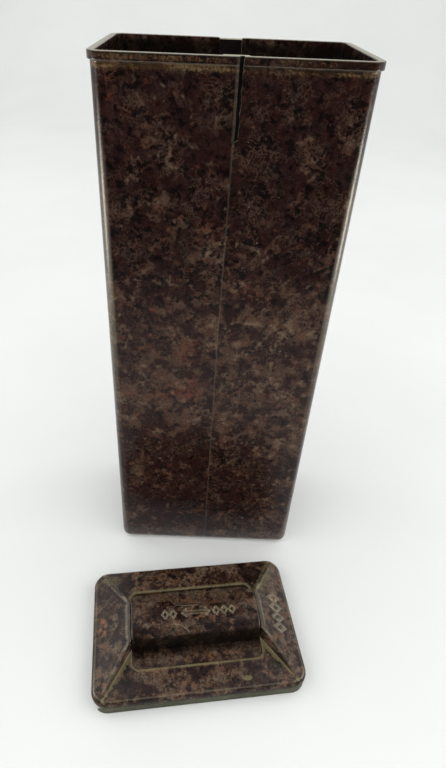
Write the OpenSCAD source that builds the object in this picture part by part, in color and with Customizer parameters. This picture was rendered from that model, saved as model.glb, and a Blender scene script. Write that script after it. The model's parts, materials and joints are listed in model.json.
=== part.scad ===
// Kitchen storage canister in moulded phenolic, with a lid that slides lengthwise on the rim.
// Frame: origin at the centre of the canister's base, +Z up, +X along the lid's opening stroke.
// The lid lies flat in front of the canister, as stored.

/* [Canister] */
// Length of the rim, left to right
rim_length = 105; // [90:1:120]
// Depth of the rim, front to rear
rim_depth = 67; // [58:1:80]
// Height of the canister, base to rim
canister_height = 268; // [200:1:300]
// Thickness of the side walls
wall = 1.8; // [1.6:0.1:3]
// Thickness of the base
base_thickness = 2.4; // [2:0.1:4]
// Radius of the upright corners and of the edge round the base
body_corner_r = 5; // [4:0.5:8]

/* [Rim band] */
// How far the band stands out from the walls, to be the lid's slideway
band_proud = 1; // [0.8:0.1:1.5]
// Height of the band
band_height = 3; // [2.5:0.1:5]

/* [Joint straps] */
// Width of the straps that back the seam between the two halves
strap_width = 10; // [8:0.5:16]
// Thickness of the straps
strap_thickness = 2; // [1.5:0.1:3]

/* [Lid slide] */
// Running clearance between the rim band and the lid's slide frame
slide_clearance = 0.3; // [0.2:0.05:0.6]
// Play of the rim band in the frame's height
slide_play = 0.5; // [0.3:0.1:1]
// Thickness of the frame's upright web
frame_web = 1.6; // [1.4:0.1:2.5]
// Thickness of the lip that hooks under the rim band
lip_thickness = 1.5; // [1.2:0.1:2]

/* [Lid plate] */
// Radius of the lid's corners in plan
lid_corner_r = 8; // [7:0.5:10]
// Thickness of the plate at its edge
plate_thickness = 5; // [4.5:0.1:7]
// Bevel round the plate's top edge
plate_bevel = 1.2; // [0.6:0.1:2]
// Depth of the finger pocket below the plate's top
pocket_depth = 2.7; // [2:0.1:3]
// Length of the finger pocket and of the grip bar in it
pocket_length = 67; // [56:1:72]
// Width of the finger pocket, front to rear
pocket_width = 41; // [36:1:46]
// Radius of the pocket's corners
pocket_corner_r = 4; // [2:0.5:6]

/* [Grip bar] */
// Width of the grip bar
bar_width = 20.6; // [16:0.2:22]
// Height of the bar's top above the underside of the slide frame
bar_top = 21; // [18:0.5:26]
// Drop from the bar's flat crown to its shoulders
shoulder_drop = 2; // [1:0.1:3]
// Width of the bar's flat crown
crown_width = 10.4; // [8:0.2:14]

/* [Stored position of the lid] */
// Lid centre, left or right of the canister's centre
lid_x = -5; // [-20:1:20]
// Lid centre, in front of the canister's centre
lid_y = -93; // [-140:1:-85]
// Turn of the lid about the vertical, anticlockwise from above
lid_turn = 7.85; // [0:0.05:12]

/* [Hidden] */
$fn = 64;
eps = 0.01;
phenolic = "#3a2823";
phenolic_dark = "#2a1c1a";
phenolic_worn = "#564a3c";

body_length = rim_length - 2 * band_proud;
body_depth = rim_depth - 2 * band_proud;
inner_corner_r = body_corner_r - wall;
strap_y = body_depth / 2 - wall - strap_thickness / 2;

// The lid's open end stands this far past the rim when the lid is shut
lid_overhang = 0.1;
lid_length = rim_length + slide_clearance + frame_web + lid_overhang;
lid_depth = rim_depth + 2 * (slide_clearance + frame_web);
frame_height = lip_thickness + band_height + slide_play;
plate_top = frame_height + plate_thickness;
pocket_floor = plate_top - pocket_depth;
shell = pocket_floor - frame_height;
// Width of the plate's flat underside, along its edges, that runs on the rim
rim_margin = 0.6;
rim_land = frame_web + slide_clearance + band_proud + wall + rim_margin;

// Raised end wedges of the lid: their foot lies along the short edges and their crest meets the bar
end_land = 0.8;
side_land = 2.2;
wedge_foot_x = lid_length / 2 - plate_bevel - end_land;
wedge_foot_y = lid_depth / 2 - plate_bevel - side_land;
// Cut across each corner of a wedge's foot
corner_cut = 6;
wedge_corner_x = lid_length / 2 - corner_cut;
// The crest starts just inside the pocket, which trims it flush
crest_trim = 0.5;
wedge_crest_x = pocket_length / 2 - crest_trim;
crest_inset = 0.1;
wedge_crest_y = bar_width / 2 - crest_inset;
crest_step = 1;
wedge_top = bar_top - crest_step;
hip_rib_width = 1.6;
hip_rib_proud = 0.5;
hip_rib_inset = 0.4;
// Gap between the bar's ends and the raised ends, both ends together
bar_gap = 0.3;

// Rectangle with true round corners, centred
module rounded_rect(size_x, size_y, r) {
  square([size_x - 2 * r, size_y], center = true);
  square([size_x, size_y - 2 * r], center = true);
  for (sx = [-1, 1], sy = [-1, 1])
    translate([sx * (size_x / 2 - r), sy * (size_y / 2 - r)]) circle(r);
}

// Straight extrusion that starts at height z
module linear_extrude_at(z, height) {
  translate([0, 0, z]) linear_extrude(height) children();
}

// Upright box with round corners and a round edge at its base, open-ended at the top
module tub(size_x, size_y, height, r) {
  hull() {
    linear_extrude(eps) square([size_x - 2 * r, size_y - 2 * r], center = true);
    for (sx = [-1, 1], sy = [-1, 1])
      translate([sx * (size_x / 2 - r), sy * (size_y / 2 - r), r]) {
        sphere(r, $fn = 32);
        cylinder(r = r, h = height - r, $fn = 32);
      }
  }
}

module canister_shell() {
  difference() {
    union() {
      tub(body_length, body_depth, canister_height, body_corner_r);
      linear_extrude_at(canister_height - band_height, band_height)
        rounded_rect(rim_length, rim_depth, body_corner_r + band_proud);
    }
    translate([0, 0, base_thickness])
      tub(body_length - 2 * wall, body_depth - 2 * wall, canister_height, inner_corner_r);
  }
}

// Keeps one side of the seam at x = 0
module half(side) {
  intersection() {
    canister_shell();
    translate([side < 0 ? -rim_length : 0, -rim_depth, -1])
      cube([rim_length, 2 * rim_depth, canister_height + 2]);
  }
}

module body_left_half() {
  color(phenolic) half(-1);
}

module body_right_half() {
  color(phenolic) half(1);
}

// Strap on the inside of the front or rear wall, from the base to the rim
module wall_strap(side) {
  translate([-strap_width / 2, side * strap_y - strap_thickness / 2, base_thickness + inner_corner_r])
    cube([strap_width, strap_thickness, canister_height - base_thickness - inner_corner_r]);
}

module front_joint_strap() {
  color(phenolic_dark) wall_strap(-1);
}

module rear_joint_strap() {
  color(phenolic_dark) wall_strap(1);
}

// Strap across the inside of the base, clear of the rounded edges
module base_joint_strap() {
  flat = body_depth - 2 * (wall + inner_corner_r);
  color(phenolic_dark)
    translate([-strap_width / 2, -flat / 2, base_thickness])
      cube([strap_width, flat, strap_thickness]);
}

// Puts the lid's own frame, centred on its underside, where the lid is stored
module stored() {
  translate([lid_x, lid_y, 0]) rotate([0, 0, lid_turn]) children();
}

// Straight channel through the slide frame, closed at the right and open at the left
module channel(width, end_x, r) {
  translate([-lid_length, -width / 2]) square([lid_length + end_x - r, width]);
  translate([-lid_length, -width / 2 + r]) square([lid_length + end_x, width - 2 * r]);
  for (sy = [-1, 1])
    translate([end_x - r, sy * (width / 2 - r)]) circle(r);
}

// Frame under the lid plate that hooks round the rim band on three sides
module slide_frame() {
  web_inner = lid_depth - 2 * frame_web;
  lip_inner = body_depth + 2 * slide_clearance;
  lip_end = lid_length / 2 - frame_web - band_proud;
  color(phenolic_worn) stored()
    difference() {
      linear_extrude(frame_height) rounded_rect(lid_length, lid_depth, lid_corner_r);
      linear_extrude_at(lip_thickness, frame_height)
        channel(web_inner, lid_length / 2 - frame_web, lid_corner_r - frame_web);
      linear_extrude_at(-1, lip_thickness + 2)
        channel(lip_inner, lip_end, body_corner_r + slide_clearance);
    }
}

// One raised end of the plate, from the height foot_z up to its sloping top. land sets its foot in
// from the lid's edges and skin sets its flanks and top in, which together cut the hollow beneath it.
module end_wedge(foot_z, land, skin) {
  hull() {
    linear_extrude_at(foot_z, eps)
      polygon([[wedge_foot_x - land, -(wedge_foot_y - corner_cut)],
               [wedge_foot_x - land, wedge_foot_y - corner_cut],
               [wedge_corner_x - land, wedge_foot_y - land],
               [wedge_crest_x + skin, wedge_crest_y - skin],
               [wedge_crest_x + skin, -(wedge_crest_y - skin)],
               [wedge_corner_x - land, -(wedge_foot_y - land)]]);
    linear_extrude_at(wedge_top - skin, eps)
      translate([wedge_crest_x + skin, -(wedge_crest_y - skin)])
        square([eps, 2 * (wedge_crest_y - skin)]);
  }
}

// Narrow rib along each hip, from the crest down to the lid's corner
module hip_rib(side_y) {
  hull() {
    translate([wedge_crest_x, side_y * (wedge_crest_y - hip_rib_width / 2), wedge_top - 1])
      cylinder(d = hip_rib_width, h = 1 + hip_rib_proud, $fn = 16);
    translate([wedge_corner_x - 1, side_y * (wedge_foot_y - hip_rib_width / 2 - hip_rib_inset),
               plate_top - 1])
      cylinder(d = hip_rib_width, h = 1 + hip_rib_proud, $fn = 16);
  }
}

// Whole plate with its finger pocket, raised ends and hollow underside
module lid_plate() {
  groove_width = lid_depth / 2 - rim_land - pocket_width / 2 - shell;
  groove_y = pocket_width / 2 + shell + groove_width / 2;
  color(phenolic) stored()
    difference() {
      union() {
        hull() {
          linear_extrude_at(frame_height, plate_thickness - plate_bevel)
            rounded_rect(lid_length, lid_depth, lid_corner_r, $fn = 48);
          linear_extrude_at(plate_top - eps, eps)
            rounded_rect(lid_length - 2 * plate_bevel, lid_depth - 2 * plate_bevel,
                         lid_corner_r - plate_bevel, $fn = 48);
        }
        for (side = [0, 1])
          mirror([side, 0, 0]) {
            end_wedge(plate_top - 1, 0, 0);
            for (side_y = [-1, 1])
              hip_rib(side_y);
          }
      }
      linear_extrude_at(pocket_floor, bar_top) rounded_rect(pocket_length, pocket_width, pocket_corner_r);
      // Long grooves in the underside, inside the land that runs on the rim
      for (side = [-1, 1])
        linear_extrude_at(frame_height - 1, shell + 1)
          translate([0, side * groove_y]) square([pocket_length, groove_width], center = true);
      // Hollows beneath the raised ends
      for (side = [0, 1])
        mirror([side, 0, 0]) end_wedge(frame_height - 1, rim_land - plate_bevel, shell);
    }
}

// Section of the grip bar, inset on every side by t
module bar_section(t) {
  polygon([[-bar_width / 2 + t, 0], [bar_width / 2 - t, 0],
           [bar_width / 2 - t, bar_top - shoulder_drop - pocket_floor - t],
           [crown_width / 2, bar_top - pocket_floor - t],
           [-crown_width / 2, bar_top - pocket_floor - t],
           [-bar_width / 2 + t, bar_top - shoulder_drop - pocket_floor - t]]);
}

// Hollow bar standing on the pocket's floor between the raised ends
module grip_bar() {
  length = pocket_length - bar_gap;
  color(phenolic) stored()
    translate([0, 0, pocket_floor])
      difference() {
        translate([-length / 2, 0, 0]) rotate([90, 0, 90]) linear_extrude(length) bar_section(0);
        translate([-length / 2 + shell, 0, -1]) rotate([90, 0, 90])
          linear_extrude(length - 2 * shell) bar_section(shell);
      }
}

body_left_half();
body_right_half();
front_joint_strap();
rear_joint_strap();
base_joint_strap();
lid_plate();
grip_bar();
slide_frame();
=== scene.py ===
"""Mottled phenolic kitchen canister with a sliding lid: its looks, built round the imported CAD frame.

Every piece is a mesh made here in the CAD frame. Lengths are in millimetres until they become vertices,
except for the floor, the lights and the boards, which are placed in metres. The canister's halves are
swept from their wall section. The lid's pieces are the zero surfaces of distance functions, so that their
moulded edges come out softly rounded.
"""

import json
import math

import bpy
import numpy as np
from mathutils import Matrix, Vector


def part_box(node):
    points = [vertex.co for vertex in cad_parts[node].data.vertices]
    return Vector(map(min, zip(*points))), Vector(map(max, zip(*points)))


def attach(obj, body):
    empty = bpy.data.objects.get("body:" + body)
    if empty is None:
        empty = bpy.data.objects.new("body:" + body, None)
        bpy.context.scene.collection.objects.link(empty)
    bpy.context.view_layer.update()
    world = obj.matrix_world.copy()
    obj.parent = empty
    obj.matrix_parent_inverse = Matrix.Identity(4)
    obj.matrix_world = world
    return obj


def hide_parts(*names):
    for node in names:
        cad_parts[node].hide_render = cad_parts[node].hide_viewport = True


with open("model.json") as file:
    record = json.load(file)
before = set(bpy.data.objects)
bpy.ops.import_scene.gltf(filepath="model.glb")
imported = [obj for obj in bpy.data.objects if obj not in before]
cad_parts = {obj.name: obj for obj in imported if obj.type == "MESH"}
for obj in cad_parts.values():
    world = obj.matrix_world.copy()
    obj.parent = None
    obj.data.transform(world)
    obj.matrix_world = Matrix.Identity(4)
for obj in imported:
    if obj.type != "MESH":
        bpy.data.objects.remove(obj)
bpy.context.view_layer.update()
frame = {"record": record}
MM = 0.001


# ---------------- sizes, from the frame

def box_mm(node):
    """Lowest and highest corner of a CAD node, in millimetres."""
    low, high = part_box(node)
    return np.array(low) / MM, np.array(high) / MM


left_low, left_high = box_mm("body_left_half")
lid_low, lid_high = box_mm("lid_plate")
bar_low, bar_high = box_mm("grip_bar")
strap_low = box_mm("front_joint_strap")[0]
base_strap_low = box_mm("base_joint_strap")[0]
frame_high = box_mm("slide_frame")[1]

# Sizes that no box of the frame shows, the same as in the part's source
BAND_PROUD = 1.0
BAND_HEIGHT = 3.0
CORNER_R = 5.0
LID_CORNER_R = 8.0
PLATE_THICKNESS = 5.0
POCKET_Y, POCKET_R = 20.5, 4.0
FRAME_WEB = 1.6
LIP = 1.5
SLIDE_CLEARANCE = 0.3
RIM_LAND = 5.3

HEIGHT = left_high[2]
WALL_X = -left_low[0] - BAND_PROUD
WALL_Y = left_high[1] - BAND_PROUD
WALL = WALL_Y + strap_low[1]
BASE = base_strap_low[2]

# The lid lies turned by the angle of its slide axis, about the middle of its own box
slide_axis = frame["record"]["behaviour"]["joints"][0]["axis"]
LID_TURN = math.atan2(slide_axis[1], slide_axis[0])
LID_MID = (lid_low + lid_high) / 2


def unturned(size_x, size_y, r):
    """Length and depth of a rectangle with corner radius r, from the box round it when turned by LID_TURN."""
    turn = np.array([[math.cos(LID_TURN), math.sin(LID_TURN)], [math.sin(LID_TURN), math.cos(LID_TURN)]])
    return np.linalg.solve(turn, np.array([size_x, size_y]) - 2 * r) + 2 * r


LID_LENGTH, LID_DEPTH = unturned(*(lid_high - lid_low)[:2], LID_CORNER_R)
BAR_LENGTH, BAR_WIDTH = unturned(*(bar_high - bar_low)[:2], 0)
FRAME_TOP = frame_high[2]
PLATE_TOP = FRAME_TOP + PLATE_THICKNESS
POCKET_FLOOR = bar_low[2]
BAR_TOP = bar_high[2]

# ---------------- meshes

def smooth_step(low, high, value):
    """0 at low, 1 at high and an S-curve between them. It falls with value where low is the larger one."""
    t = np.clip((np.asarray(value, float) - low) / (high - low), 0, 1)
    return t * t * (3 - 2 * t)


def waves(value, seed, count=5, longest=9.0):
    """A repeatable uneven line: a sum of sines of falling length, about -1 to 1."""
    rng = np.random.default_rng(seed)
    total = np.zeros_like(np.asarray(value, float))
    for k in range(count):
        length = longest / (1.7 ** k)
        total += np.sin(2 * math.pi * np.asarray(value) / length + rng.uniform(0, 6.28)) * 0.62 ** k
    return total / 2


def mesh_object(name, points, faces, material):
    """A smooth mesh in the scene, with points in metres and one material."""
    mesh = bpy.data.meshes.new(name)
    mesh.from_pydata(points, [], faces)
    mesh.polygons.foreach_set("use_smooth", [True] * len(mesh.polygons))
    mesh.materials.append(material)
    made = bpy.data.objects.new(name, mesh)
    bpy.context.collection.objects.link(made)
    return made


# The last mark is painted shade: it darkens surfaces that lie in shade
MARKS = ("wear", "dust", "stain", "tone", "grime")


def add_piece(name, points, faces, body, slot, node, material, sharp=None, **marks):
    """Adds one smooth mesh that rides on a body and stands for a CAD node.

    points are in millimetres. marks are numbers per vertex, or one for all, that the materials read by name.
    sharp is the angle in degrees above which an edge isn't smoothed.
    """
    piece = mesh_object(name, (np.asarray(points) * MM).tolist(), faces, material)
    for mark in MARKS:
        values = np.broadcast_to(np.asarray(marks.get(mark, 0.0), np.float32), len(points))
        piece.data.attributes.new(mark, "FLOAT", "POINT").data.foreach_set("value", values)
    if sharp:
        piece.data.set_sharp_from_angle(angle=math.radians(sharp))
    piece.data.update()
    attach(piece, body)
    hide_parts(node)


# ---------------- canister halves

# Distances of the front and rear walls' columns from the seam, close together at the bevel and the straps
SEAM_STEPS = [0, 0.25, 0.55, 1.0, 1.6, 2.4, 3.4, 4.3, 4.8, 5.3, 6.2, 8, 11, 15, 20, 26, 32, 39]
CORNER_STEPS = 12
SIDE_STEPS = 11
ROW_STEP = 4.5
FINE_ROW_STEP = 0.6
RIM_EDGE = 0.4

# The front seam drifts right by SEAM_DRIFT on its way up. Above SLIT_FOOT it opens into a slit SLIT_GAP wide,
# whose left edge lies SLIT_OFFSET right of the middle.
SEAM_GROOVE = 0.14
SEAM_BEVEL = 0.55
SEAM_DRIFT = 0.65
SLIT_FOOT = 240.0
SLIT_OFFSET = 1.2
SLIT_GAP = 1.4

# The rear rim dips by REAR_DIP over the strap. The dip starts and is full at these distances from the seam.
REAR_DIP = 0.35
DIP_ENDS = (5.4, 4.9)
WALL_BOW = 0.06

# How brown the mottle is over the height: denser up the canister's middle
TONE_Z = [0, 30, 45, 72, 98, 168, 205, 262]
TONE = [0.4, -0.3, -0.7, -0.4, 1.1, 0.8, -0.9, -1.2]
# Redder patches on the front: x, z, half width, half height, strength
RED_PATCHES = [(-13, 144, 4, 8, 0.45), (-12, 122, 5, 9, 0.5), (-24, 118, 9, 5, 0.35), (-8, 205, 4, 5, 0.3),
               (14, 180, 4, 6, 0.25), (-36, 250, 5, 6, 0.15)]


def blob(x, y, mid_x, mid_y, half_x, half_y):
    """A soft oval patch: 1 inside, 0 outside."""
    return smooth_step(1.15, 0.7, np.hypot((x - mid_x) / half_x, (y - mid_y) / half_y))


def wall_path():
    """Plan of the right half's wall from front seam to rear seam: points and outward normals."""
    straight_x, straight_y = WALL_X - CORNER_R, WALL_Y - CORNER_R
    runs = [s for s in SEAM_STEPS if s < straight_x - 1] + [straight_x]
    path = [((x, -WALL_Y), (0, -1)) for x in runs[:-1]]
    turns = [math.radians(a) for a in np.linspace(-90, 0, CORNER_STEPS + 1)]
    path += [((straight_x + CORNER_R * math.cos(a), -straight_y + CORNER_R * math.sin(a)),
              (math.cos(a), math.sin(a))) for a in turns]
    path += [((WALL_X, y), (1, 0)) for y in np.linspace(-straight_y, straight_y, SIDE_STEPS + 1)[1:-1]]
    path += [((straight_x - CORNER_R * math.sin(a), straight_y + CORNER_R * math.cos(a)),
              (-math.sin(a), math.cos(a))) for a in turns]
    path += [((x, WALL_Y), (0, 1)) for x in reversed(runs[:-1])]
    return np.array([p for p, _ in path]), np.array([n for _, n in path])


def wall_section():
    """Section of the wall, base to rim: outer offset and height, inner offset and height, wear and dust."""
    inner_r = CORNER_R - WALL
    rows = []
    # Round the edge of the base
    for a in np.linspace(0, math.pi / 2, 10):
        rows.append((CORNER_R * (math.sin(a) - 1), CORNER_R * (1 - math.cos(a)),
                     -WALL + inner_r * (math.sin(a) - 1), BASE + inner_r * (1 - math.cos(a)),
                     0.35 * math.sin(2 * a), 0))
    band = HEIGHT - BAND_HEIGHT
    coarse = np.arange(CORNER_R + 4, SLIT_FOOT - 4, ROW_STEP)
    fine = np.arange(SLIT_FOOT - 3, band - FINE_ROW_STEP, FINE_ROW_STEP)
    for z in np.concatenate([coarse, fine]):
        smudge = 0.55 * smooth_step(band - 4.4, band - 0.8, z)
        rows.append((0, z, -WALL, z, 0, smudge))
    # Up the rim band from the fillet at its foot: offset, height over the foot, wear and dust
    band_rows = [(0, -0.45, 0, 0.5), (0.12, -0.15, 0, 0.6), (0.45, 0, 0, 0.7), (0.82, 0.06, 0.4, 0.3),
                 (0.97, 0.22, 0.4, 0), (BAND_PROUD, 0.5, 0, 0)]
    band_rows += [(BAND_PROUD, rise, 0, 0.34) for rise in (1.0, 1.5, 2.0, 2.3)]
    rows += [(out, band + rise, -WALL, band + rise, wear, dust) for out, rise, wear, dust in band_rows]
    # Over the rounded rim
    for a in np.linspace(0, math.pi / 2, 4):
        z = HEIGHT - RIM_EDGE + RIM_EDGE * math.sin(a)
        back = RIM_EDGE * (1 - math.cos(a))
        rows.append((BAND_PROUD - back, z, -WALL + back, z, 0.8 * math.sin(a) ** 2, 0))
    return np.array(rows)


def seam_edge(z, side):
    """How far the front seam's edge lies to the right of the centre line at height z."""
    shift = SEAM_DRIFT * smooth_step(150, SLIT_FOOT - 4, z)
    shift = shift + (SLIT_OFFSET - SEAM_DRIFT) * smooth_step(SLIT_FOOT - 1.2, SLIT_FOOT + 1.2, z)
    if side > 0:
        jagged = SLIT_GAP + 0.28 * waves(z, 3, longest=7.0)
        shift = shift + jagged * smooth_step(SLIT_FOOT - 0.2, SLIT_FOOT + 0.6, z)
    else:
        shift = shift + 0.03 * waves(z, 8, longest=13.0) * smooth_step(SLIT_FOOT, SLIT_FOOT + 2, z)
    return shift


def shell_points(side, plan, normal, section, in_slit):
    """Points of one half, outer layer then inner: the wall section swept along the plan."""
    from_seam = np.abs(plan[:, 0])
    front = plan[:, 1] < 0
    bevel = SEAM_BEVEL + (0.5 if side < 0 else 0.0) * in_slit
    groove = SEAM_GROOVE * (1 + 3 * in_slit) * np.clip(1 - from_seam[None, :] / bevel, 0, 1)
    layers = []
    for inner in (0, 1):
        offset, z = section[:, 2 * inner], section[:, 2 * inner + 1]
        out = offset[:, None] - (0 if inner else 1) * groove
        x = plan[None, :, 0] + normal[None, :, 0] * out
        y = plan[None, :, 1] + normal[None, :, 1] * out
        z = np.repeat(z[:, None], len(plan), axis=1)
        follow = np.clip(1 - from_seam / 6.0, 0, 1)[None, :] ** 2
        x = side * x + np.where(front[None, :], follow * seam_edge(z, side), 0)
        low_rim = REAR_DIP * smooth_step(*DIP_ENDS, from_seam) * ~front
        z = z - low_rim[None, :] * smooth_step(HEIGHT - 2.6, HEIGHT - 0.5, z)
        # Moulded walls are never quite flat
        y = y + normal[None, :, 1] * WALL_BOW * np.sin(x / 17 + 1.3) * np.sin(z / 41) * (from_seam > 0.6)
        layers.append(np.stack([x, y, z], axis=-1).reshape(-1, 3))
    return np.concatenate(layers)


def shell_faces(side, rows, columns):
    """Faces of one half: outer and inner layer, both seams, the rim and the base."""
    def at(inner, row, column):
        return (inner * rows + row) * columns + column

    faces = []
    for row in range(rows - 1):
        for column in range(columns - 1):
            faces.append((at(0, row, column), at(0, row, column + 1),
                          at(0, row + 1, column + 1), at(0, row + 1, column)))
            faces.append((at(1, row, column), at(1, row + 1, column),
                          at(1, row + 1, column + 1), at(1, row, column + 1)))
        for column, turn in ((0, 1), (columns - 1, -1)):
            cap = (at(0, row, column), at(0, row + 1, column), at(1, row + 1, column), at(1, row, column))
            faces.append(cap[::turn])
    last = rows - 1
    for column in range(columns - 1):
        faces.append((at(0, last, column), at(0, last, column + 1),
                      at(1, last, column + 1), at(1, last, column)))
    faces.append(tuple(at(0, 0, column) for column in reversed(range(columns))))
    faces.append(tuple(at(1, 0, column) for column in range(columns)))
    faces.append((at(0, 0, 0), at(1, 0, 0), at(1, 0, columns - 1), at(0, 0, columns - 1)))
    if side < 0:
        faces = [face[::-1] for face in faces]
    return faces


def shell_half(name, side, node, material):
    """One half of the canister, with its seam's bevel and the open slit."""
    plan, normal = wall_path()
    section = wall_section()
    rows, columns = len(section), len(plan)
    in_slit = smooth_step(SLIT_FOOT - 1, SLIT_FOOT + 0.5, section[:, 1])[:, None]
    from_seam = np.abs(plan[:, 0])
    front = plan[:, 1] < 0
    wear_rows, dust_rows = section[:, 4], section[:, 5]
    height, across = section[:, 1][:, None], (side * from_seam * front)[None, :]
    if side > 0:
        seam_wear = (0.22 + 0.7 * in_slit) * np.clip(1 - from_seam / 0.5, 0, 1)[None, :]
    else:
        seam_wear = 0.16 * smooth_step(1.0, 0.5, from_seam)[None, :] * in_slit
        seam_wear = np.maximum(seam_wear, 0.15 * np.clip(1 - from_seam / 0.5, 0, 1)[None, :])
    # The upright corners are lightened, partly as wear where hands hold them and partly as a painted
    # highlight
    on_corner = smooth_step(0.2, 0.6, 2 * np.abs(normal[:, 0] * normal[:, 1]))[None, :]
    corner_wear_and_highlight = 0.42 * on_corner * smooth_step(60, 180, height) * smooth_step(HEIGHT - 20, HEIGHT - 60, height)
    wear = np.maximum(np.maximum(wear_rows[:, None], seam_wear), corner_wear_and_highlight)
    dust = dust_rows[:, None] * (1 + 0.35 * smooth_step(0, -40, across))
    stain = np.zeros((rows, columns))
    for *patch, strength in RED_PATCHES:
        stain = np.maximum(stain, strength * blob(across, height, *patch) * front[None, :])
    # The dark patch low on the front fades towards the corners
    tone = np.interp(height, TONE_Z, TONE) + smooth_step(16, 42, np.abs(across)) * smooth_step(95, 70, height)
    on_rim = np.repeat(np.where(section[:, 3] > HEIGHT - 0.2, wear_rows, 0)[:, None], columns, axis=1)
    # Painted shade on the inner faces, from just under the rim downwards
    inside = np.repeat(smooth_step(HEIGHT - 0.4, HEIGHT - 3, section[:, 3])[:, None], columns, axis=1)
    none = np.zeros((rows, columns))

    def layers(outer, inner=none):
        return np.concatenate([outer.ravel(), inner.ravel()])

    add_piece(name, shell_points(side, plan, normal, section, in_slit), shell_faces(side, rows, columns),
              "canister", "phenolic_body", node, material, sharp=48, wear=layers(wear, on_rim),
              dust=layers(dust), stain=layers(stain), tone=layers(tone), grime=layers(none, inside))


STRAP_EDGE_R = 0.5
STRAP_STATIONS = 46
STRAP_WOBBLE = 0.12
STRAP_SEED = 21


def strap_piece(name, node, material, along, top_drop=0.0, bare_side=0.0):
    """A strap with rounded edges that follows the seam inside the wall, a little uneven in width.

    along is the axis it runs along. Its top ends top_drop under its CAD node's, and bare_side is the wear
    on its right side.
    """
    low, high = box_mm(node)
    high = high - np.array([0, 0, top_drop])
    across = [axis for axis in range(3) if axis != along]
    middle, half = (low + high) / 2, (high - low) / 2
    r = STRAP_EDGE_R
    stations = np.linspace(low[along], high[along] - 1.0, STRAP_STATIONS)
    stations = np.concatenate([stations, high[along] - np.array([0.5, 0.25, 0.0])])
    loop = []
    for quarter, corner in enumerate([(1, 1), (-1, 1), (-1, -1), (1, -1)]):
        for a in np.linspace(0, math.pi / 2, 4):
            angle = a + quarter * math.pi / 2
            loop.append((corner, math.cos(angle), math.sin(angle)))
    points = []
    for k, station in enumerate(stations):
        edge = 0.4 * r if k in (0, len(stations) - 1) else r
        for (cu, cv), cos, sin in loop:
            point = np.zeros(3)
            wobble = STRAP_WOBBLE * float(waves(station, STRAP_SEED + cu, longest=60.0))
            u = cu * (half[across[0]] - r) + edge * cos + cu * wobble
            v = cv * (half[across[1]] - r) + edge * sin
            point[along] = station
            point[across[0]] = middle[across[0]] + u
            point[across[1]] = middle[across[1]] + v
            points.append(point)
    n = len(loop)
    turn = 1 if along != 1 else -1
    faces = []
    for k in range(len(stations) - 1):
        for j in range(n):
            face = (k * n + j, k * n + (j + 1) % n, (k + 1) * n + (j + 1) % n, (k + 1) * n + j)
            faces.append(face[::turn])
    faces.append(tuple(range(n))[::-turn])
    faces.append(tuple(range((len(stations) - 1) * n, len(stations) * n))[::turn])
    points = np.array(points)
    wear = np.where(points[:, 2] > high[2] - 0.1, 1.0, 0.0) if along == 2 else np.zeros(len(points))
    wear = np.maximum(wear, bare_side * smooth_step(high[0] - 0.35, high[0] - 0.1, points[:, 0]))
    add_piece(name, points, faces, "canister", "phenolic_strap", node, material, sharp=50, wear=wear)


# ---------------- distance functions for the lid

def smooth_max(a, b, k):
    """Meet of two solids, with the edge between them rounded over about k."""
    blend = np.maximum(k - np.abs(a - b), 0) / k
    return np.maximum(a, b) + blend * blend * k / 4


def smooth_min(a, b, k):
    """Join of two solids, with a fillet of about k."""
    return -smooth_max(-a, -b, k)


def rounded_rect(x, y, half_x, half_y, r):
    """Plan distance to a rectangle with corner radius r, below 0 inside it."""
    qx = np.abs(x) - half_x + r
    qy = np.abs(y) - half_y + r
    return np.hypot(np.maximum(qx, 0), np.maximum(qy, 0)) + np.minimum(np.maximum(qx, qy), 0) - r


def plane_through(a, b, c):
    """Unit normal and offset of the plane through three points."""
    a, b, c = (np.array(p, float) for p in (a, b, c))
    normal = np.cross(b - a, c - a)
    normal /= np.linalg.norm(normal)
    return normal, float(normal @ a)


def side_of(plane, x, y, z):
    """Distance to a plane, above 0 on the side that its normal points to."""
    normal, offset = plane
    return normal[0] * x + normal[1] * y + normal[2] * z - offset


# The lid's own frame: x along its length, y towards its rear, z up, with the middle of the lid at x = y = 0
HALF_L, HALF_D = LID_LENGTH / 2, LID_DEPTH / 2
SHELL = POCKET_FLOOR - FRAME_TOP
POCKET_X = BAR_LENGTH / 2 + 0.15
# Each raised end slopes down from its crest beside the bar, and a hip runs from the crest to each corner
CREST = (POCKET_X, BAR_WIDTH / 2 - 0.1, BAR_TOP - 1)
FOOT = (HALF_L - 2.0, HALF_D - 9.4, PLATE_TOP)
KNEE = (HALF_L - 6.0, HALF_D - 3.4, PLATE_TOP)
SLOPE = plane_through((CREST[0], 0, CREST[2]), (FOOT[0], 0, PLATE_TOP), CREST)
CORNER_SLOPE = plane_through(CREST, FOOT, KNEE)
FLANK = plane_through(CREST, KNEE, (CREST[0], CREST[1], 0))
RIB_WIDTH = 1.5
RIB_PROUD = 0.45
BEAD_HEIGHT = PLATE_TOP - 3.0
BEAD_IN = 1.15
SKIRT_IN = 0.7
HAIRLINE = 0.12

# Places farther than this from a mark count as this far
FAR = 9.0


def lozenge(x, y, half_x, half_y):
    """Distance to the outline of a lozenge."""
    outward = np.abs(x) / half_x + np.abs(y) / half_y - 1
    return np.abs(outward * half_x * half_y / math.hypot(half_x, half_y))


def path_distance(x, y, path):
    """Plan distance to a line through the points of path, up to FAR."""
    d = np.full(np.broadcast(x, y).shape, FAR)
    for (ax, ay), (bx, by) in zip(path[:-1], path[1:]):
        run_x, run_y = bx - ax, by - ay
        t = np.clip(((x - ax) * run_x + (y - ay) * run_y) / (run_x ** 2 + run_y ** 2), 0, 1)
        d = np.minimum(d, np.hypot(x - ax - t * run_x, y - ay - t * run_y))
    return d


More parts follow.
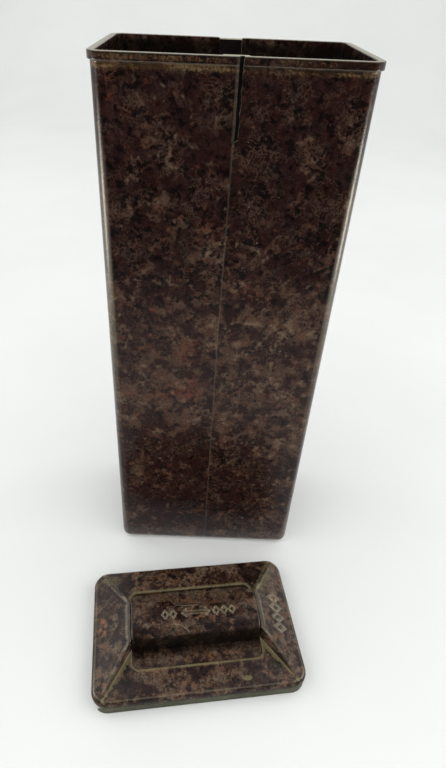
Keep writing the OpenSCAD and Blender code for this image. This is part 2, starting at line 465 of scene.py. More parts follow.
# Plain raised marks where the photograph has lettering: an outlined double arrow and lozenges
MARK_X, MARK_Y = 0.5, 0.5
ARROW_HALF, ARROW_HEAD, ARROW_SHAFT = 6.0, 2.0, 0.75
BAR_LOZENGE = (1.6, 2.2)
BAR_LOZENGE_PLACES = (-15.6, -11.4, 11.2, 15.4, 19.6)
END_LOZENGE = (2.9, 2.3)
END_LOZENGE_X, END_LOZENGE_Y, END_LOZENGE_PITCH = 44.6, -8.4, 5.6


def bar_marks(x, y):
    """Distance to the centre lines of the marks on the bar: an arrow each way between lozenges."""
    along, off = np.abs(x - MARK_X), np.abs(y - MARK_Y)
    d = np.hypot(np.maximum(along - ARROW_HALF, 0), off - ARROW_SHAFT)
    d = np.minimum(d, path_distance(along, off, [(ARROW_HALF - 1.0, ARROW_HEAD), (ARROW_HALF + 1.2, 0)]))
    for centre in BAR_LOZENGE_PLACES:
        d = np.minimum(d, lozenge(x - centre, off, *BAR_LOZENGE))
    return d


def end_marks(x, y):
    """Distance to the centre lines of the four lozenges on the lid's right end."""
    d = np.full(np.broadcast(x, y).shape, FAR)
    for k in range(4):
        d = np.minimum(d, lozenge(x - END_LOZENGE_X, y - END_LOZENGE_Y - END_LOZENGE_PITCH * k, *END_LOZENGE))
    return d


def raised(distance, stroke, proud):
    """Height of a raised stroke of that width round a centre line."""
    return proud * smooth_step(stroke / 2 + 0.3, stroke / 2 - 0.15, distance)


def plate_distance(x, y, z):
    """The lid's plate: beaded slab, raised ends with ribbed hips, finger pocket and hollow underside."""
    ax, ay = np.abs(x), np.abs(y)
    above = np.maximum(z - BEAD_HEIGHT, 0) / (PLATE_TOP - BEAD_HEIGHT)
    below = np.maximum(BEAD_HEIGHT - z, 0) / (BEAD_HEIGHT - FRAME_TOP)
    outline = rounded_rect(x, y, HALF_L, HALF_D, LID_CORNER_R) + BEAD_IN * above ** 2 + SKIRT_IN * below ** 2
    foot = FRAME_TOP + HAIRLINE
    solid = smooth_max(outline, np.maximum(z - PLATE_TOP, foot - z), 0.9)

    slope, corner, flank = (side_of(p, ax, ay, z) for p in (SLOPE, CORNER_SLOPE, FLANK))
    top = smooth_max(slope, corner, 1.5) - raised(end_marks(x, y), 0.6, 0.3)
    wedge = smooth_max(top, flank, 0.5)
    rib = smooth_max(smooth_max(flank, -RIB_WIDTH - flank, 0.5), corner - RIB_PROUD, 0.5)
    wedge = smooth_max(smooth_min(wedge, rib, 0.3), np.maximum(outline, foot - z), 0.5)
    solid = smooth_min(solid, wedge, 0.7)

    pocket = smooth_max(rounded_rect(x, y, POCKET_X, POCKET_Y, POCKET_R), POCKET_FLOOR - z, 0.9)
    solid = smooth_max(solid, -pocket, 0.5)
    groove_half = (HALF_D - RIM_LAND - POCKET_Y - SHELL) / 2
    groove = rounded_rect(x, ay - POCKET_Y - SHELL - groove_half, POCKET_X, groove_half, 1.0)
    solid = smooth_max(solid, -smooth_max(groove, z - FRAME_TOP - SHELL, 0.6), 0.4)

    hollow = smooth_max(smooth_max(slope, corner, 1.0) + SHELL, flank + SHELL, 0.6)
    hollow = smooth_max(hollow, POCKET_X + SHELL - ax, 0.6)
    hollow = smooth_max(hollow, rounded_rect(x, y, HALF_L - RIM_LAND, HALF_D - RIM_LAND, 3.0), 0.6)
    return smooth_max(solid, -hollow, 0.4)


# The bar is flat on top up to CROWN_Y from its middle, and its shoulders fall by SHOULDER_DROP to its sides
CROWN_Y = 5.2
SHOULDER_DROP = 2.0
SHOULDER = plane_through((0, CROWN_Y, BAR_TOP), (1, CROWN_Y, BAR_TOP),
                         (0, BAR_WIDTH / 2, BAR_TOP - SHOULDER_DROP))
# The broken rear edge, as y over x. UNBROKEN lies behind the bar.
BREAK_X = [-14.4, -12.6, -11.0, -8.4, -4.0, 21.0, 22.6, 24.6, 26.8]
BREAK_Y = [11.2, 9.8, 7.2, 5.7, 5.1, 4.7, 6.4, 8.6, 10.9]
UNBROKEN = 14
BREAK_SLANT = 0.8
# The short crack in front of the left marks
CRACK = [(-11.6, -4.8), (-8.2, -5.6), (-5.6, -7.0), (-3.8, -9.0)]
CRACK_DEPTH = 0.2


def break_line(x):
    """The y at which the bar's broken rear edge lies at x."""
    return np.interp(x, BREAK_X, BREAK_Y, left=UNBROKEN, right=UNBROKEN) + 0.18 * waves(x, 5, longest=5.0)


def bar_distance(x, y, z):
    """The grip bar: a hollow bar with a flat crown and sloped shoulders, its rear broken away."""
    ay = np.abs(y)
    half_x, half_y = BAR_LENGTH / 2, BAR_WIDTH / 2
    top = smooth_max(z - BAR_TOP + 0.12, side_of(SHOULDER, 0, ay, z) + 0.08, 0.8)
    top = top - raised(bar_marks(x, y), 0.45, 0.3)
    top = top + CRACK_DEPTH * smooth_step(0.4, 0.1, path_distance(x, y, CRACK))
    solid = smooth_max(top, smooth_max(ay - half_y, np.abs(x) - half_x, 0.6), 0.9)
    solid = np.maximum(solid, POCKET_FLOOR - z)
    hollow = smooth_max(z - BAR_TOP + SHELL, side_of(SHOULDER, 0, ay, z) + SHELL, 0.6)
    hollow = smooth_max(hollow, rounded_rect(x, y, half_x - SHELL, half_y - SHELL, 1.5), 0.6)
    solid = smooth_max(solid, -hollow, 0.3)
    broken = (break_line(x) - y) * BREAK_SLANT
    return smooth_max(solid, -broken, 0.5)


def frame_distance(x, y, z):
    """The slide frame: a rail along the front, rear and right edges that hooks under the rim band."""
    past_left = 60.0
    solid = smooth_max(rounded_rect(x, y, HALF_L, HALF_D, LID_CORNER_R) + 0.08,
                       np.maximum(z - FRAME_TOP + 0.02, -z), 0.7)
    # Channel and mouth run out past the left end
    half_x, half_y = HALF_L - FRAME_WEB, HALF_D - FRAME_WEB
    channel = rounded_rect(x + past_left, y, half_x + past_left, half_y, LID_CORNER_R - FRAME_WEB)
    solid = smooth_max(solid, -smooth_max(channel, LIP - z, 0.3), 0.3)
    mouth = rounded_rect(x + past_left, y, half_x - BAND_PROUD + past_left, half_y - BAND_PROUD,
                         CORNER_R + SLIDE_CLEARANCE)
    return smooth_max(solid, -mouth, 0.4)


# ---------------- surfaces of the distance functions

def surface_of(distance, low, high, step):
    """Points and quads of the surface where distance is zero, one point to each grid cell that it crosses."""
    axes = [np.arange(a - 1.6 * step, b + 2 * step, step) for a, b in zip(low, high)]
    grid = np.meshgrid(*axes, indexing="ij", sparse=True)
    value = np.broadcast_to(distance(*grid), [len(a) for a in axes])
    inside = value < 0
    # Each cell's point is the mean of the places where its edges cross the surface
    cells = tuple(n - 1 for n in value.shape)
    total = np.zeros(cells + (3,))
    count = np.zeros(cells)
    for axis in range(3):
        others = [k for k in range(3) if k != axis]
        a = value[tuple(slice(None, -1) if k == axis else slice(None) for k in range(3))]
        b = value[tuple(slice(1, None) if k == axis else slice(None) for k in range(3))]
        crossed = (a < 0) != (b < 0)
        place = np.where(crossed, a / np.where(crossed, a - b, 1), 0)
        for du in (0, 1):
            for dv in (0, 1):
                take = [slice(None)] * 3
                take[others[0]] = slice(du, du + cells[others[0]])
                take[others[1]] = slice(dv, dv + cells[others[1]])
                hit = crossed[tuple(take)]
                count += hit
                total[..., axis] += place[tuple(take)]
                total[..., others[0]] += du * hit
                total[..., others[1]] += dv * hit
    used = count > 0
    index = np.full(cells, -1)
    index[used] = np.arange(used.sum())
    corner = np.argwhere(used)
    start = np.array([a[0] for a in axes])
    points = start + step * (corner + total[used] / count[used][:, None])

    # Each crossed grid edge gives a quad of the four cells round it, turned to face out
    quads = []
    for axis in range(3):
        u, v = (axis + 1) % 3, (axis + 2) % 3
        a = inside[tuple(slice(None, -1) if k == axis else slice(1, -1) for k in range(3))]
        b = inside[tuple(slice(1, None) if k == axis else slice(1, -1) for k in range(3))]
        for flip, crossed in ((False, a & ~b), (True, ~a & b)):
            where = np.argwhere(crossed)
            where[:, u] += 1
            where[:, v] += 1
            ring = []
            for du, dv in ((0, 0), (-1, 0), (-1, -1), (0, -1)):
                cell = where.copy()
                cell[:, u] += du
                cell[:, v] += dv
                ring.append(index[tuple(cell.T)])
            quads.append(np.stack(ring[::-1] if flip else ring, axis=1))
    return points, np.concatenate(quads)


def slopes(distance, points, reach=0.05):
    """Gradient of a distance function at points."""
    rises = [distance(*(points + s).T) - distance(*(points - s).T) for s in np.eye(3) * reach]
    return np.stack(rises, axis=1) / (2 * reach)


def bend(distance, points, reach):
    """How sharply the surface bends at points: above 0 on outer edges, below 0 in hollows."""
    total = -6 * distance(*points.T)
    for s in np.eye(3) * reach:
        total += distance(*(points + s).T) + distance(*(points - s).T)
    return total / reach


def lid_surface(distance, low, high, step):
    """Surface of a distance function in the lid's own frame, its points drawn onto the surface."""
    points, quads = surface_of(distance, low, high, step)
    for _ in range(3):
        slope = slopes(distance, points)
        size = np.maximum((slope ** 2).sum(axis=1), 0.3)
        move = distance(*points.T)[:, None] * slope / size[:, None]
        points = points - np.clip(move, -step / 2, step / 2)
    return points, quads


def stored(points):
    """Carries points from the lid's own frame to where the lid lies."""
    c, s = math.cos(LID_TURN), math.sin(LID_TURN)
    x = LID_MID[0] + c * points[:, 0] - s * points[:, 1]
    y = LID_MID[1] + s * points[:, 0] + c * points[:, 1]
    return np.stack([x, y, points[:, 2]], axis=1)


# Grid steps of the lid's meshes. The bar's is the finest, for its small raised marks.
PLATE_GRID = 0.48
BAR_GRID = 0.285
FRAME_GRID = 0.5


def plate_piece(material):
    """The lid's plate, worn on its edges and marks, with dust beside its hips and round the pocket."""
    low = (-HALF_L, -HALF_D, FRAME_TOP)
    high = (HALF_L, HALF_D, BAR_TOP)
    points, quads = lid_surface(plate_distance, low, high, PLATE_GRID)
    x, y, z = points.T
    ax, ay = np.abs(x), np.abs(y)
    fold = bend(plate_distance, points, 0.35)
    top = z > PLATE_TOP - 1.0
    # The underside stays clean
    outside = slopes(plate_distance, points, 0.1)[:, 2] > -0.3

    by_bar = (np.abs(ax - POCKET_X) < 1.8) & (ay < CREST[1] + 1.5)
    wear = np.clip(fold * 0.7 - 0.2, 0, np.where(by_bar, 0.22, 0.55)) * (z > BEAD_HEIGHT)
    edge = rounded_rect(x, y, HALF_L, HALF_D, LID_CORNER_R)
    # A light line round the top edge: wear, and a painted highlight along its rounded edge
    wear = np.maximum(wear, 0.4 * smooth_step(0.5, 0.15, np.abs(edge + 1.3)) * top)
    mark_edge = smooth_step(0.45, 0.15, np.abs(end_marks(x, y) - 0.35)) * (x > 35) * (z > PLATE_TOP)
    wear = np.maximum(wear, 0.65 * mark_edge)

    # Dust in the hollows, in a strip beside each hip that narrows outwards, and round the pocket
    dust = np.clip(-fold * 1.2 - 0.1, 0, 1) * (z > BEAD_HEIGHT)
    flank = side_of(FLANK, ax, ay, z)
    from_bar = np.clip((ay - CREST[1]) / (KNEE[1] - CREST[1]), 0, 1)
    strip = 3.2 * (1 - 0.65 * from_bar) + 0.5 * waves(x + 2 * y, 14, longest=8.0)
    on_plate = (z < PLATE_TOP + 0.35) & (z > PLATE_TOP - 0.4) & (ay > POCKET_Y - 9)
    dust = np.maximum(dust, 0.85 * smooth_step(1.2, -1.2, flank - strip) * on_plate * (flank > -0.4))
    lip = rounded_rect(x, y, POCKET_X, POCKET_Y, POCKET_R)
    dust = np.maximum(dust, 0.75 * smooth_step(1.9, 0.1, np.abs(lip - 0.5)) * top * (z < PLATE_TOP + 0.4))
    beside_rib = smooth_step(2.8, 1.0, np.abs(flank + RIB_WIDTH + 1.4))
    dust = np.maximum(dust, 0.5 * beside_rib * (x > 0) * (y > 12) * top)
    # A dusty rear left corner and a smear by the front edge
    dust = np.maximum(dust, 0.5 * blob(x, y, -44, 29.5, 7, 3.5) * top)
    dust = np.maximum(dust, 0.75 * blob(x, y, 23, -30, 3.0, 1.5) * top)

    # Rusty stains, and painted shade on the pocket floor in front of the bar
    stain = 0.8 * blob(x, y, -48.5, 1, 2.6, 6.5) + 0.4 * blob(x, y, 7, -16.5, 4, 1.6)
    in_pocket = (lip < 0) * (z < PLATE_TOP - 0.5)
    shade = smooth_step(-BAR_WIDTH / 2 - 6, -BAR_WIDTH / 2 - 1, y) * (y < 0)
    # Painted light: the pocket floor is made browner and lighter, behind the bar most
    tone = np.where(y < 0, 0.6, 1.6) * in_pocket
    add_piece("moulded_lid_plate", stored(points), quads.tolist(), "lid", "phenolic_lid", "lid_plate",
              material, wear=wear * outside, dust=dust * outside, stain=stain, tone=tone,
              grime=0.9 * shade * in_pocket)


def bar_piece(material):
    """The grip bar, worn on its edges, its break and its crack, with painted shade on its front wall, its
    inside and its front shoulder.
    """
    low = (-BAR_LENGTH / 2, -BAR_WIDTH / 2, POCKET_FLOOR)
    high = (BAR_LENGTH / 2, BAR_WIDTH / 2, BAR_TOP + 0.3)
    points, quads = lid_surface(bar_distance, low, high, BAR_GRID)
    x, y, z = points.T
    fold = bend(bar_distance, points, 0.4)

    wear = np.clip(fold * 0.7 - 0.2, 0, 0.8) * (z > POCKET_FLOOR + 3)
    from_break = np.abs(break_line(x) - y) * BREAK_SLANT
    wear = np.where(from_break < 1.6, np.minimum(wear, 0.25), wear)
    wear = np.maximum(wear, 0.5 * smooth_step(0.9, 0.4, from_break) * (x < 2) * (z > BAR_TOP - 4))
    wear = np.where(np.abs(x) > BAR_LENGTH / 2 - 1.5, np.minimum(wear, 0.2), wear)
    wear = np.maximum(wear, 0.55 * smooth_step(0.35, 0.1, path_distance(x, y, CRACK)) * (z > BAR_TOP - 3.5))

    dust = np.clip(-fold * 0.9 - 0.1, 0, 1) * (z > POCKET_FLOOR + 1)
    beside_mark = smooth_step(0.3, 0.1, np.abs(bar_marks(x, y) - 0.3))
    dust = np.maximum(dust, 0.6 * beside_mark * (z > BAR_TOP - 1))

    # Painted shade: dark on the front wall and the inner faces, lighter on the front shoulder, which is also
    # made less brown
    front = -BAR_WIDTH / 2
    front_wall = smooth_step(front + 0.5, front + 0.15, y)
    outer_height = np.minimum(BAR_TOP, BAR_TOP - side_of(SHOULDER, 0, np.abs(y), BAR_TOP))
    within = smooth_step(-0.4, -0.9, z - outer_height)
    shoulder = smooth_step(-CROWN_Y, -CROWN_Y - 1.5, y)
    grime = np.maximum(front_wall, 0.6 * within * (y > front + 1))
    add_piece("moulded_grip_bar", stored(points), quads.tolist(), "lid", "phenolic_lid", "grip_bar",
              material, wear=wear, dust=dust, grime=np.maximum(grime, 0.3 * shoulder), tone=-0.6 * shoulder)


def frame_piece(material):
    """The slide frame, lightly worn on its edges."""
    low = (-HALF_L, -HALF_D, 0)
    high = (HALF_L, HALF_D, FRAME_TOP)
    points, quads = lid_surface(frame_distance, low, high, FRAME_GRID)
    fold = bend(frame_distance, points, 0.5)
    add_piece("moulded_slide_frame", stored(points), quads.tolist(), "lid", "phenolic_frame", "slide_frame",
              material, wear=np.clip(fold * 0.6 - 0.2, 0, 0.5))


# ---------------- materials

# Places of the colour sockets on Blender's Mix node, which has sockets of the same names for other types
MIX_A, MIX_B, MIX_RESULT = 6, 7, 2


class Shader:
    """One material, built by short calls that each add a node and set or link its inputs."""

    def __init__(self, name):
        self.material = bpy.data.materials.new(name)
        self.material.use_nodes = True
        self.tree = self.material.node_tree
        self.tree.nodes.clear()

    def put(self, socket, value):
        """Links value to the socket if it is another node's output, and sets it otherwise."""
        if isinstance(value, bpy.types.NodeSocket):
            self.tree.links.new(value, socket)
        else:
            socket.default_value = value

    def add(self, kind, settings=None, **inputs):
        """Adds a node of a kind. Inputs are named as Blender names them, with _ for a space."""
        node = self.tree.nodes.new("ShaderNode" + kind)
        for key, value in (settings or {}).items():
            setattr(node, key, value)
        for key, value in inputs.items():
            self.put(node.inputs[key.replace("_", " ")], value)
        return node

    def calculate(self, kind, operation, values):
        """Output of a node of that kind which applies an operation to values."""
        node = self.add(kind, {"operation": operation})
        for socket, value in zip(node.inputs, values):
            self.put(socket, value)
        return node.outputs[0]

    def math(self, operation, *values):
        return self.calculate("Math", operation, values)

    def mark(self, name):
        """One of the marks that add_piece stores per vertex."""
        return self.add("Attribute", {"attribute_name": name}).outputs["Fac"]

    def noise(self, place, per_mm, detail=4.0, rough=0.6):
        return self.add("TexNoise", Vector=place, Scale=per_mm, Detail=detail, Roughness=rough).outputs["Fac"]

    def ramp(self, value, low, high, bottom=0.0, top=1.0):
        """Remaps value so that low to high becomes bottom to top, smoothly and clamped."""
        node = self.add("MapRange", {"interpolation_type": "SMOOTHSTEP"}, Value=value,
                        From_Min=low, From_Max=high, To_Min=bottom, To_Max=top)
        return node.outputs["Result"]

    def mix(self, factor, a, b):
        """Colour a where factor is 0 and b where it is 1."""
        node = self.add("Mix", {"data_type": "RGBA"}, Factor=factor)
        self.put(node.inputs[MIX_A], a)
        self.put(node.inputs[MIX_B], b)
        return node.outputs[MIX_RESULT]

    def warp(self, place, swirl, reach):
        """Moves place by up to reach, in the directions of swirl."""
        return self.calculate("VectorMath", "MULTIPLY_ADD", (swirl, (reach,) * 3, place))

    def place(self, offset, stretch=(1, 1, 1)):
        """Object coordinates in millimetres, moved by offset."""
        at = self.add("TexCoord").outputs["Object"]
        scale = tuple(s / MM for s in stretch)
        return self.add("Mapping", Vector=at, Location=offset, Scale=scale).outputs["Vector"]

    def finish(self, colour, roughness, height, lift):
        """The finished material, with a relief of lift millimetres from height."""
        bump = self.add("Bump", Strength=1.0, Distance=lift * MM, Height=height)
        surface = self.add("BsdfPrincipled", Base_Color=colour, Roughness=roughness,
                           Normal=bump.outputs["Normal"])
        self.add("OutputMaterial", Surface=surface.outputs["BSDF"])
        return self.material


def rgb(red, green, blue):
    """Shader colour from the 0 to 255 numbers of a screen colour."""
    return tuple((c / 255) ** 2.2 for c in (red, green, blue)) + (1.0,)


DARK = rgb(36, 21, 19)
MAROON = rgb(48, 29, 26)
BROWNS = rgb(86, 69, 56), rgb(92, 64, 50)
LID_BROWNS = rgb(114, 97, 80), rgb(120, 88, 66)
TAUPE = rgb(118, 98, 80)
RUST = rgb(106, 58, 43)
LID_RUST = rgb(134, 88, 58)
BLACK_GREEN = rgb(17, 14, 14)
# Colour of the painted shade
PAINTED_SHADE_COLOUR = rgb(19, 18, 14)
KHAKI = rgb(120, 109, 76)
SMUDGE = rgb(120, 94, 58)
BARE = rgb(180, 172, 148)

# Size of the mottle's blotches, in millimetres
GRAIN = 1.7


def mottle(s, at, offset, browns, brown_at, taupe_at, rust, rust_at, cells):
    """Colour of clean phenolic: dark maroon with brown, taupe and rust blotches and black specks.

    A lower brown_at, taupe_at or rust_at shows more of that colour. cells, from 0 to 1, darkens the lines
    between the granules. The mark tone runs from about -1, less brown, to 1.6, more brown, and the mark
    stain from 0 to 1 adds rust.
    """
    swirl = s.add("TexNoise", Vector=at, Scale=0.4 / GRAIN, Detail=4.0).outputs["Color"]
    bent, leaning = s.warp(at, swirl, 2.2 * GRAIN), s.warp(at, swirl, 0.9 * GRAIN)

    def elsewhere(shift):
        return s.place(tuple(o + shift for o in offset))

    # Cloudy regions with more or less of the lighter filler
    clouds = s.noise(at, 0.09 / GRAIN, detail=3.0)
    blotch = s.noise(bent, 0.5 / GRAIN, detail=5.0)
    patches = s.noise(elsewhere(67), 0.22 / GRAIN, detail=5.0, rough=0.55)
    spread = s.math("MULTIPLY_ADD", s.math("SUBTRACT", clouds, 0.5), 0.5, s.math("MULTIPLY", blotch, 0.65))
    spread = s.math("MULTIPLY_ADD", s.math("SUBTRACT", patches, 0.5), 1.05, s.math("ADD", spread, 0.175))
    spread = s.math("MULTIPLY_ADD", s.mark("tone"), 0.07, spread)
    under = s.noise(bent, 0.8 / GRAIN, detail=6.0, rough=0.65)
    colour = s.mix(s.ramp(under, 0.4, 0.62), DARK, MAROON)
    brown = s.mix(s.ramp(s.noise(elsewhere(43), 0.3 / GRAIN), 0.4, 0.6), *browns)
    grains = s.ramp(s.noise(bent, 1.5 / GRAIN, rough=0.7), 0.35, 0.62)
    granule = s.add("TexVoronoi", Vector=bent, Scale=1.5 / GRAIN).outputs["Distance"]
    grains = s.math("MULTIPLY", grains, s.ramp(granule, 0.75, 0.3))
    lighter = s.mix(grains, s.mix(0.6, brown, MAROON), brown)
    colour = s.mix(s.ramp(spread, brown_at, brown_at + 0.16, top=0.95), colour, lighter)
    # Dark lines between the granules
    edges = s.add("TexVoronoi", {"feature": "DISTANCE_TO_EDGE"}, Vector=leaning, Scale=0.85 / GRAIN)
    between = s.ramp(edges.outputs["Distance"], 0.16, 0.02)
    uneven = s.ramp(s.noise(elsewhere(11), 0.5 / GRAIN, detail=3.0), 0.35, 0.6)
    between = s.math("MULTIPLY", between, s.math("MULTIPLY", uneven, cells))
    colour = s.mix(between, colour, DARK)
    # Thin curly veins of the lighter filler
    vein = s.math("ABSOLUTE", s.math("SUBTRACT", s.noise(bent, 0.55 / GRAIN, detail=6.0, rough=0.7), 0.5))
    veined = s.ramp(s.noise(elsewhere(19), 0.14 / GRAIN), 0.42, 0.62)
    vein = s.math("MULTIPLY", s.ramp(vein, 0.035, 0.0), veined)
    colour = s.mix(s.math("MULTIPLY", vein, 0.3), colour, TAUPE)
    # Flecks of taupe, rust and black
    fleck = s.noise(elsewhere(31), 0.42 / GRAIN, detail=6.0, rough=0.62)
    fleck = s.math("MULTIPLY_ADD", s.math("SUBTRACT", clouds, 0.5), 0.25, fleck)
    fleck = s.math("MULTIPLY_ADD", s.mark("tone"), 0.03, fleck)
    colour = s.mix(s.ramp(fleck, taupe_at - 0.02, taupe_at + 0.16, top=0.6), colour, TAUPE)
    patch = s.noise(elsewhere(-57), 0.3 / GRAIN, detail=5.0, rough=0.65)
    red = s.math("MAXIMUM", s.ramp(patch, rust_at, rust_at + 0.12, top=0.45), s.mark("stain"))
    red = s.math("MULTIPLY", red, s.ramp(under, 0.36, 0.6))
    colour = s.mix(red, colour, rust)
    speck = s.noise(elsewhere(83), 0.5 / GRAIN, detail=5.0, rough=0.65)
    speck = s.math("MULTIPLY_ADD", s.math("MAXIMUM", s.mark("tone"), 0.0), -0.05, speck)
    return s.mix(s.ramp(speck, 0.53, 0.6, top=0.85), colour, BLACK_GREEN)


def weathered_with_painted_shade(s, at, offset, colour, dust_colour, dust_least):
    """Adds dust, worn edges, nicks and painted shade by the marks of those names: colour, how dusty and how
    worn.
    """
    grit = s.noise(at, 1.1, detail=5.0, rough=0.75)
    drift = s.noise(s.place(offset, stretch=(0.4, 0.4, 1)), 0.2)
    drift = s.ramp(drift, 0.42, 0.6, bottom=dust_least)
    dusty = s.math("MULTIPLY", s.ramp(s.math("MULTIPLY_ADD", s.mark("dust"), 0.62, grit), 0.66, 1.0), drift)
    colour = s.mix(s.math("MULTIPLY", dusty, 0.85), colour, dust_colour)
    worn = s.ramp(s.math("MULTIPLY_ADD", s.mark("wear"), 0.62, grit), 0.78, 1.12)
    worn = s.math("MAXIMUM", worn, s.math("MULTIPLY", s.mark("wear"), 0.42))
    colour = s.mix(s.math("MULTIPLY", worn, 0.9), colour, BARE)
    nick = s.ramp(s.noise(at, 0.8, detail=1.0), 0.8, 0.82)
    colour = s.mix(s.math("MULTIPLY", nick, 0.5), colour, BARE)
    # Painted shade: darkens the colour by its mark where the surface lies in shade
    colour = s.mix(s.math("MULTIPLY", s.mark("grime"), 0.75), colour, PAINTED_SHADE_COLOUR)
    return colour, dusty, worn


def mottled(name, offset, gloss, dust_colour, dust_least, **blotches):
    """Weathered mottled phenolic. offset, in millimetres, shifts its pattern, and blotches go to mottle."""
    s = Shader(name)
    at = s.place(offset)
    clean = mottle(s, at, offset, **blotches)
    colour, dusty, worn = weathered_with_painted_shade(s, at, offset, clean, dust_colour, dust_least)
    scuff = s.noise(at, 0.22, detail=6.0, rough=0.7)
    rough = s.ramp(scuff, 0.35, 0.7, bottom=gloss, top=gloss + 0.14)
    rough = s.math("MAXIMUM", rough, s.math("MULTIPLY", s.math("MAXIMUM", dusty, worn), 0.62))
    skin = s.math("MULTIPLY_ADD", s.noise(at, 0.3, detail=2.0), 1.6, s.noise(at, 2.6, detail=3.0))
    skin = s.math("MULTIPLY_ADD", dusty, 0.6, skin)
    return s.finish(colour, rough, skin, 0.03)


def plain_phenolic(name, base, tint, gloss):
    """Unmottled moulding: one dull tone with cloudy shade, fine grit and worn edges."""
    s = Shader(name)
    at = s.place((7, 3, 5))
    cloud = s.noise(at, 0.09)
    grit = s.noise(at, 1.6, detail=6.0, rough=0.7)
    colour = s.mix(s.ramp(cloud, 0.35, 0.65), base, tint)
    colour = s.mix(s.ramp(grit, 0.55, 0.8, top=0.25), colour, KHAKI)
    colour = s.mix(s.ramp(s.noise(at, 0.5, detail=5.0), 0.6, 0.72, top=0.6), colour, BLACK_GREEN)
    worn = s.ramp(s.math("MULTIPLY_ADD", s.mark("wear"), 0.62, grit), 0.68, 1.02)
    colour = s.mix(s.math("MULTIPLY", worn, 0.9), colour, BARE)
    rough = s.ramp(grit, 0.3, 0.7, bottom=gloss, top=gloss + 0.2)
    return s.finish(colour, rough, s.noise(at, 2.2), 0.05)


def paper(name):
    """Plain pale paper for the floor."""
    s = Shader(name)
    at = s.place((0, 0, 0))
    tone = s.ramp(s.noise(at, 0.004, detail=3.0), 0.3, 0.7)
    colour = s.mix(tone, (0.86, 0.875, 0.865, 1), (0.9, 0.91, 0.9, 1))
    return s.finish(colour, s.ramp(s.noise(at, 0.5), 0.3, 0.7, bottom=0.85, top=0.95), s.noise(at, 1.2), 0.02)


# ---------------- floor, light and camera

def sweep_floor():
    """A pale sheet that lies flat under the object and curves up far behind it."""
    near, bend_start, bend_r, top, half_width = -3.0, 1.0, 0.8, 1.6, 8.0
    profile = [(near, 0.0), (-1.0, 0.0), (0.0, 0.0), (bend_start, 0.0)]
    profile += [(bend_start + bend_r * math.sin(a), bend_r * (1 - math.cos(a)))
                for a in np.linspace(0.1, math.pi / 2, 16)]
    profile.append((bend_start + bend_r, top))
    across = np.linspace(-half_width, half_width, 9)
    points = [(x, y, z) for y, z in profile for x in across]
    n = len(across)
    faces = [(k * n + j, k * n + j + 1, (k + 1) * n + j + 1, (k + 1) * n + j)
             for k in range(len(profile) - 1) for j in range(n - 1)]
    floor = mesh_object("floor_sheet", points, faces, paper("pale_paper"))


def soft_light(name, place, target, size, power):
    """A rectangular area light at place, aimed at target, of a power in watts."""
    lamp = bpy.data.lights.new(name, "AREA")
    lamp.shape = "RECTANGLE"
    lamp.size, lamp.size_y = size
    lamp.energy = power
    light = bpy.data.objects.new(name, lamp)
    light.location = place
    light.rotation_euler = (Vector(target) - Vector(place)).to_track_quat("-Z", "Y").to_euler()
    bpy.context.collection.objects.link(light)
    return light


# The boards' shading runs between these, in millimetres
FLAG_FAR_Y, FLAG_NEAR_Y = -380, -60


def flag_board(name, half_width, first_edge, second_edge, far_tone, near_tone):
    """A board that only shows in reflections, shaded from far_tone at the front to near_tone at the object.

    Its edges are given as y and z.
    """
    (y1, z1), (y2, z2) = first_edge, second_edge
    corners = [(-half_width, y1, z1), (half_width, y1, z1), (half_width, y2, z2), (-half_width, y2, z2)]
    s = Shader(name)
    at = s.place((0, 0, 0))
    depth = s.add("SeparateXYZ", Vector=at).outputs["Y"]
    cloudy = s.math("MULTIPLY_ADD", s.noise(at, 0.02), 20.0, depth)
    grey = s.ramp(cloudy, FLAG_FAR_Y, FLAG_NEAR_Y, far_tone, near_tone)
    board = mesh_object(name, corners, [(0, 1, 2, 3)], s.finish(grey, 0.9, 0.5, 0.01))
    for sight in ("visible_camera", "visible_diffuse", "visible_shadow"):
        setattr(board, sight, False)


def soft_room():
    """The world: a pale even room, a little brighter behind the object than in front of it."""
    world = bpy.data.worlds.new("soft_room")
    world.use_nodes = True
    tree = world.node_tree
    sky = tree.nodes["Background"]
    sky.inputs["Color"].default_value = (0.985, 1.0, 0.985, 1)
    way = tree.nodes.new("ShaderNodeTexCoord")
    split = tree.nodes.new("ShaderNodeSeparateXYZ")
    rise = tree.nodes.new("ShaderNodeMapRange")
    for socket, value in (("From Min", -0.5), ("From Max", 0.6), ("To Min", 0.58), ("To Max", 0.78)):
        rise.inputs[socket].default_value = value
    tree.links.new(way.outputs["Generated"], split.inputs[0])
    tree.links.new(split.outputs["Y"], rise.inputs["Value"])
    tree.links.new(rise.outputs["Result"], sky.inputs["Strength"])
    bpy.context.scene.world = world


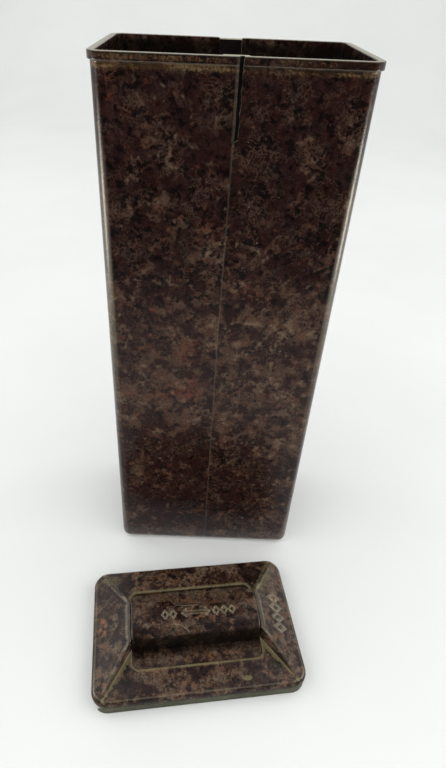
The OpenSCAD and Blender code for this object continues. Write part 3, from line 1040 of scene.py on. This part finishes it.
def studio():
    """Soft lights behind, at the sides and in front, and dark boards that only reflect."""
    soft_light("rear_light", (0.0, 0.6, 1.4), (0, -0.05, 0.1), (2.4, 1.4), 1.3)
    soft_light("back_wash", (0.0, 0.9, 1.2), (0, 1.8, 0.3), (2.0, 0.5), 2.0)
    for side, x in (("left", -1), ("right", 1)):
        box = soft_light(side + "_box", (0.9 * x, -0.1, 0.7), (0, -0.08, 0.05), (1.2, 1.1), 4.0)
        box.visible_glossy = False
        fill = soft_light(side + "_fill", (0.6 * x, -1.1, 1.1), (0, -0.1, 0), (1.2, 1.2), 3.2)
        fill.visible_glossy = False
        # Only shows as a soft highlight down the canister's upright corners
        strip = soft_light(side + "_strip", (0.36 * x, -0.12, 0.11), (0.04 * x, -0.03, 0.2),
                           (0.12, 0.13), 0.5)
        strip.data.color = (1.0, 0.91, 0.78)
        strip.visible_diffuse = False
        strip.visible_camera = False
    # Painted reflections: boards seen only in reflections, near black for the unlit room in front and above,
    # grey for the shaded floor in front
    flag_board("front_flag", 1.0, (-0.37, 0), (-0.42, 1.0), 0.0, 0.02)
    flag_board("floor_flag", 0.3, (-0.37, 0.0005), (-0.04, 0.0005), 0.15, 0.38)
    flag_board("top_flag", 0.4, (-0.6, 1.2), (0.1, 1.2), 0.1, 0.1)


# The photograph's camera and lens, by their fit to the edges of the canister and the lid
EYE = (-10.4, -245.9, 291.0)
HEADING, DOWN, ROLL = 0.278, 36.478, 2.404
SENSOR_WIDTH, FOCAL_LENGTH = 36, 25.39
LENS_SHIFT = (0.0348, -0.0164)


def camera():
    """The camera stands in front of the canister, above its rim, and looks down on both pieces."""
    heading, down, roll = (math.radians(a) for a in (HEADING, DOWN, ROLL))
    ahead = Vector((math.sin(heading) * math.cos(down), math.cos(heading) * math.cos(down), -math.sin(down)))
    level = Vector((math.cos(heading), -math.sin(heading), 0))
    up = level.cross(ahead)
    right = math.cos(roll) * level + math.sin(roll) * up
    up = right.cross(ahead)
    lens = bpy.data.cameras.new("view_camera")
    lens.sensor_width = SENSOR_WIDTH
    lens.lens = FOCAL_LENGTH
    lens.shift_x, lens.shift_y = LENS_SHIFT
    lens.clip_start = 0.01
    eye = bpy.data.objects.new("view_camera", lens)
    turn = Matrix((right, up, -ahead)).transposed()
    eye.matrix_world = Matrix.Translation(Vector(EYE) * MM) @ turn.to_4x4()
    bpy.context.collection.objects.link(eye)
    bpy.context.scene.camera = eye


# ---------------- the object

canister_mottle = {"gloss": 0.17, "dust_colour": SMUDGE, "browns": BROWNS, "brown_at": 0.51, "rust": RUST,
                   "cells": 0.3}
left_phenolic = mottled("mottled_phenolic_left", (13, 40, 7), dust_least=0.2, taupe_at=0.58, rust_at=0.58,
                        **canister_mottle)
right_phenolic = mottled("mottled_phenolic_right", (-61, 12, 90), dust_least=0.1, taupe_at=0.57, rust_at=0.6,
                         **canister_mottle)
lid_phenolic = mottled("mottled_phenolic_lid", (5, -8, 51), gloss=0.24, dust_colour=KHAKI, dust_least=0.7,
                       browns=LID_BROWNS, brown_at=0.44, taupe_at=0.57, rust=LID_RUST, rust_at=0.6,
                       cells=0.85)
strap_phenolic = plain_phenolic("strap_phenolic", rgb(24, 16, 15), rgb(34, 23, 21), 0.35)
frame_phenolic = plain_phenolic("frame_phenolic", rgb(76, 78, 62), rgb(90, 90, 72), 0.5)

shell_half("moulded_left_half", -1, "body_left_half", left_phenolic)
shell_half("moulded_right_half", 1, "body_right_half", right_phenolic)
strap_piece("moulded_front_strap", "front_joint_strap", strap_phenolic, along=2)
strap_piece("moulded_rear_strap", "rear_joint_strap", strap_phenolic, along=2, top_drop=REAR_DIP,
            bare_side=0.7)
strap_piece("moulded_base_strap", "base_joint_strap", strap_phenolic, along=1)
plate_piece(lid_phenolic)
bar_piece(lid_phenolic)
frame_piece(frame_phenolic)

sweep_floor()
soft_room()
studio()
camera()
bpy.context.scene.view_settings.view_transform = "Standard"
